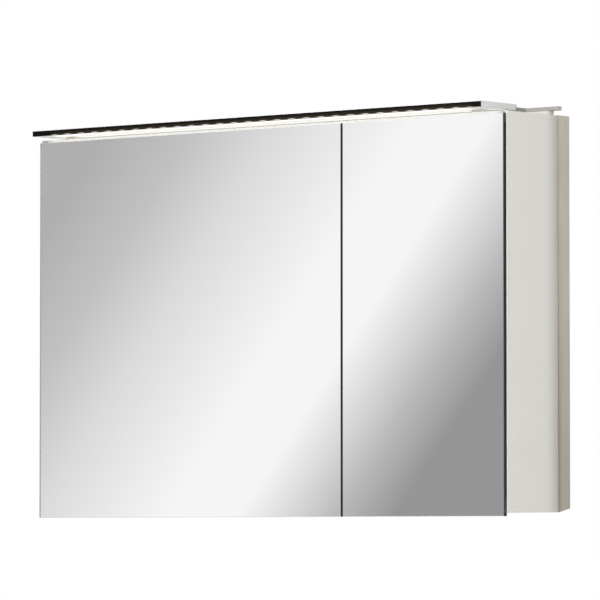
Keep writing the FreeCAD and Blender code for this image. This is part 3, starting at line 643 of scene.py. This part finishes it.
# Lamp driver and cable gland: the driver is a closed grey moulded box behind the back panel, its lid
# held by four screws, and the mains cable comes through a black rubber gland in that panel.
case_pale = (0.50, 0.50, 0.49, 1)
case_cloud = (0.44, 0.44, 0.43, 1)
seam_dark = (0.16, 0.16, 0.16, 1)
seam_half = 0.0003
lid_y = -0.0125
driver_corner = 0.0065
driver_head_radius, driver_head_height = 0.0028, 0.0010

driver_case, place = finish("driver_case")
x, y, z = axes(place)
mould = speckle(place, 620.0)
seam = abs(y - lid_y) < seam_half
colour = tint(seam, tint(speckle(place, 40.0), case_pale, case_cloud), seam_dark)
coat(driver_case, place, Base_Color=colour, Roughness=0.40 + mould * 0.16,
     Normal=relief(mould - seam * 3.0, 0.12, 0.0003))
dress(driver_case, "lamp_driver")

driver_low, driver_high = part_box("lamp_driver")
driver_spots = [Vector((x, driver_high.y, z))
                for x in (driver_low.x + driver_corner, driver_high.x - driver_corner)
                for z in (driver_low.z + driver_corner, driver_high.z - driver_corner)]
heads = cross_heads("driver_screws", driver_spots, driver_head_radius, driver_head_height,
                    (0, 1, 0), "cabinet")
heads.data.materials.append(steel)
dress(rubber, "cable_gland")

# Switch: a white moulded case on the right face of the partition, with a rocker that tips on two
# trunnions. It switches the lamp and is reached with the narrow door open.
moulded_white = (0.80, 0.80, 0.785, 1)
moulded_shade = (0.76, 0.76, 0.745, 1)

white_plastic, place = finish("white_plastic")
mould = speckle(place, 700.0)
coat(white_plastic, place, Base_Color=tint(speckle(place, 30.0), moulded_white, moulded_shade),
     Roughness=0.28 + mould * 0.14, Normal=relief(mould, 0.07, 0.0003))
dress(white_plastic, "switch_case", "switch_rocker")

# Studio: a pale floor below the hanging cabinet, a large grey card in front of it for the mirrors to
# show, which turns white towards the floor, soft light from the front right with weaker light from the
# left and the back, and white around.
floor_tone = (0.88, 0.88, 0.87, 1)
floor_z = -0.95
floor_half = 5.0
floor_shadow = (1.0, 3.0)

sheet = bmesh.new()
bmesh.ops.create_grid(sheet, x_segments=1, y_segments=1, size=floor_half)
bmesh.ops.translate(sheet, verts=sheet.verts, vec=(0, 0, floor_z))
floor_mesh = bpy.data.meshes.new("floor")
sheet.to_mesh(floor_mesh)
sheet.free()
floor = bpy.data.objects.new("floor", floor_mesh)
bpy.context.scene.collection.objects.link(floor)
pale, place = finish("floor_pale")
x, y, z = axes(place)
away = (x * x + y * y) ** 0.5
coat(pale, place, Base_Color=floor_tone, Roughness=0.7)
tree = pale.node_tree


def seen_rays(tree):
    """1 for the rays that look at the room, 0 for those that light the object."""
    rays = tree.nodes.new("ShaderNodeLightPath")
    looks = Wire(tree, rays.outputs["Is Camera Ray"]) + Wire(tree, rays.outputs["Is Glossy Ray"])
    return looks + Wire(tree, rays.outputs["Is Transmission Ray"]) > 0.5


white = place.node("ShaderNodeEmission", {}, {"Color": (1, 1, 1, 1), "Strength": 1.0})
shaded = Wire(tree, tree.nodes["Principled BSDF"].outputs[0])
far = fade(away, *floor_shadow) * seen_rays(tree)
ground = place.node("ShaderNodeMixShader", {}, {0: far, 1: shaded, 2: white})
under = Wire(tree, tree.nodes.new("ShaderNodeNewGeometry").outputs["Backfacing"])
clear = place.node("ShaderNodeBsdfTransparent", {}, {})
both = place.node("ShaderNodeMixShader", {}, {0: under, 1: ground, 2: clear})
tree.links.new(both.socket, tree.nodes["Material Output"].inputs["Surface"])
floor_mesh.materials.append(pale)

card_y = -3.2
card_half = 6.0
card_white = (0.96, 0.96, 0.96, 1)
card_foot_z = (-0.56, -0.92)
card_strength = 1.04
card_slope_x, card_slope_z, card_start = 285.0, 235.0, 1083.0
turn_first, turn_last = 100.0, 1300.0
upright = Matrix.Rotation(math.pi / 2, 3, "X")

sheet = bmesh.new()
bmesh.ops.create_grid(sheet, x_segments=1, y_segments=1, size=card_half)
bmesh.ops.rotate(sheet, verts=sheet.verts, cent=(0, 0, 0), matrix=upright)
bmesh.ops.translate(sheet, verts=sheet.verts, vec=(0, card_y, 0))
card_mesh = bpy.data.meshes.new("card")
sheet.to_mesh(card_mesh)
sheet.free()
card = bpy.data.objects.new("card", card_mesh)
bpy.context.scene.collection.objects.link(card)
card_grey, place = finish("card_grey")
x, y, z = axes(place)
along = x * card_slope_x - z * card_slope_z + card_start
greys = ((100, 0.430), (150, 0.430), (230, 0.536), (300, 0.702), (416, 0.913), (479, 0.913),
         (561, 0.482), (608, 0.302), (760, 0.302), (1000, 0.60), (1120, 0.60), (1300, 0.430))
part = place.node("ShaderNodeMath", {"operation": "WRAP"}, {0: along, 1: turn_last, 2: turn_first})
part = (part - turn_first) * (1 / (turn_last - turn_first))
stops = [((s - turn_first) / (turn_last - turn_first), (g, g, g, 1)) for s, g in greys]
shade = place.node("ShaderNodeValToRGB", {"stops": stops}, {0: part})
shade = tint(fade(z, *card_foot_z), shade, card_white)
glow = place.node("ShaderNodeEmission", {}, {"Color": shade, "Strength": card_strength})
tree = card_grey.node_tree
tree.links.new(glow.socket, tree.nodes["Material Output"].inputs["Surface"])
card_mesh.materials.append(card_grey)
card.visible_camera = False
card.visible_diffuse = False
card.visible_shadow = False
card.visible_transmission = False

room_light = 0.33
world = bpy.data.worlds.new("studio")
world.use_nodes = True
bpy.context.scene.world = world
tree = world.node_tree
seen = seen_rays(tree)
room = seen.node("ShaderNodeBackground", {}, {"Color": (1, 1, 1, 1), "Strength": room_light})
plain = seen.node("ShaderNodeBackground", {}, {"Color": (1, 1, 1, 1), "Strength": 1.0})
around = seen.node("ShaderNodeMixShader", {}, {0: seen, 1: room, 2: plain})
tree.links.new(around.socket, tree.nodes["World Output"].inputs["Surface"])

aim = Vector((0, -0.10, -0.25))
lamp_reach = 4.0
for name, direction, size, power in (
        ("key", (0.58, -0.78, 0.26), 2.4, 138.0),
        ("fill", (-0.80, -0.52, 0.30), 2.4, 48.0),
        ("rear", (-0.60, 0.75, 0.30), 2.4, 90.0)):
    lamp = bpy.data.lights.new(name, "AREA")
    lamp.size = size
    lamp.energy = power
    stand = bpy.data.objects.new(name, lamp)
    stand.location = aim + Vector(direction).normalized() * lamp_reach
    stand.rotation_euler = Vector(direction).to_track_quat("Z", "Y").to_euler()
    stand.visible_glossy = False
    bpy.context.scene.collection.objects.link(stand)

lens = bpy.data.cameras.new("camera")
lens.lens = 300.0
lens.sensor_width = 36.0
lens.clip_end = 100.0
camera = bpy.data.objects.new("camera", lens)
camera.location = (4.75898, -5.97142, -0.57969)
camera.rotation_euler = (math.pi / 2 + 0.0476, 0, 0.6799)
bpy.context.scene.collection.objects.link(camera)
bpy.context.scene.camera = camera
bpy.context.scene.view_settings.view_transform = "Standard"
